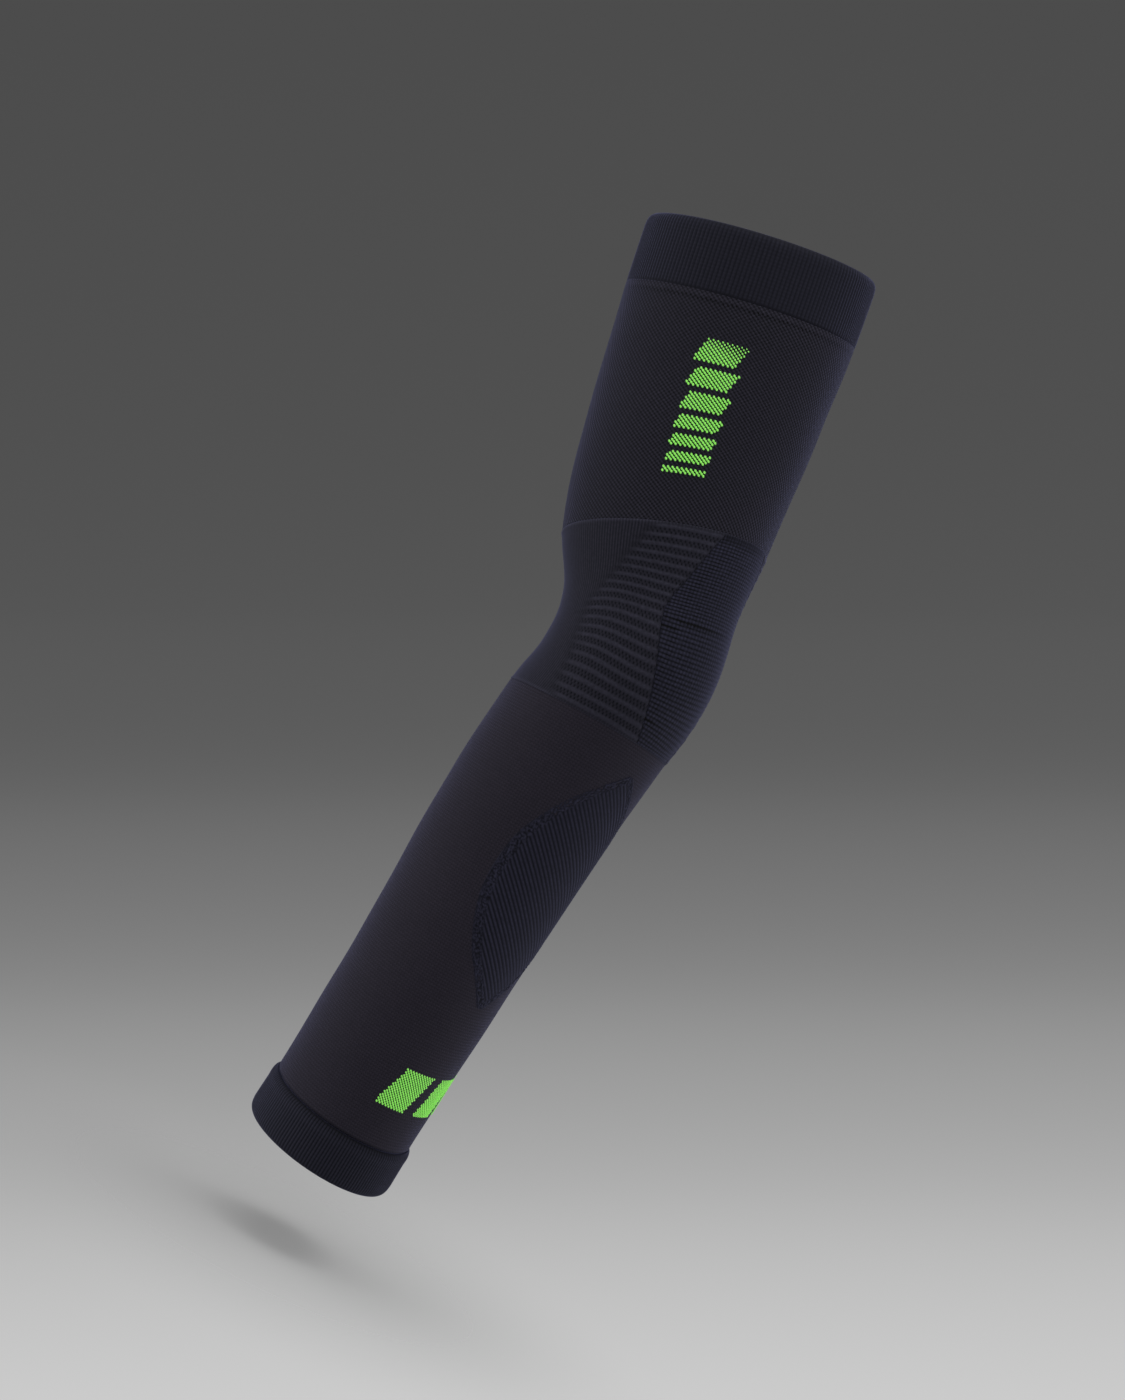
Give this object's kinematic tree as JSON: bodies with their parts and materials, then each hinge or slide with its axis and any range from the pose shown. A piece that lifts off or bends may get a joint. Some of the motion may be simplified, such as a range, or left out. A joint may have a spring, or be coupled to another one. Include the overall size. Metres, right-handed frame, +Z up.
{
  "type": "arm compression sleeve",
  "caption": "Knitted arm compression sleeve in its worn form, slightly bent, with ribbed cuffs, a ribbed elbow zone and green stitched marks.",
  "frame": {"origin": "centre of the upper-arm opening, where the upper arm goes in", "axes": "+Z up, from the centre of the wrist opening through the centre of the upper-arm opening; the arm bends in the XZ plane, with the crook of the elbow towards -X and the point of the elbow towards +X"},
  "size_m": [0.114, 0.0898, 0.4088],
  "materials": {
    "knit": "matt",
    "cuff_knit": "matt",
    "pad_knit": "matt",
    "mark_yarn": "satin"
  },
  "bodies": {
    "root": {"upper_cuff": "cuff_knit", "upper_arm_knit": "knit", "elbow_knit": "knit", "elbow_patch": "pad_knit", "forearm_knit": "knit", "forearm_panel": "pad_knit", "wrist_cuff": "cuff_knit", "arm_mark_1": "mark_yarn", "arm_mark_2": "mark_yarn", "arm_mark_3": "mark_yarn", "arm_mark_4": "mark_yarn", "arm_mark_5": "mark_yarn", "arm_mark_6": "mark_yarn", "arm_mark_7": "mark_yarn", "wrist_mark_1": "mark_yarn", "wrist_mark_2": "mark_yarn", "wrist_mark_3": "mark_yarn", "wrist_mark_4": "mark_yarn", "wrist_mark_5": "mark_yarn", "wrist_mark_6": "mark_yarn", "wrist_mark_7": "mark_yarn", "wrist_mark_8": "mark_yarn"}
  },
  "joints": []
}
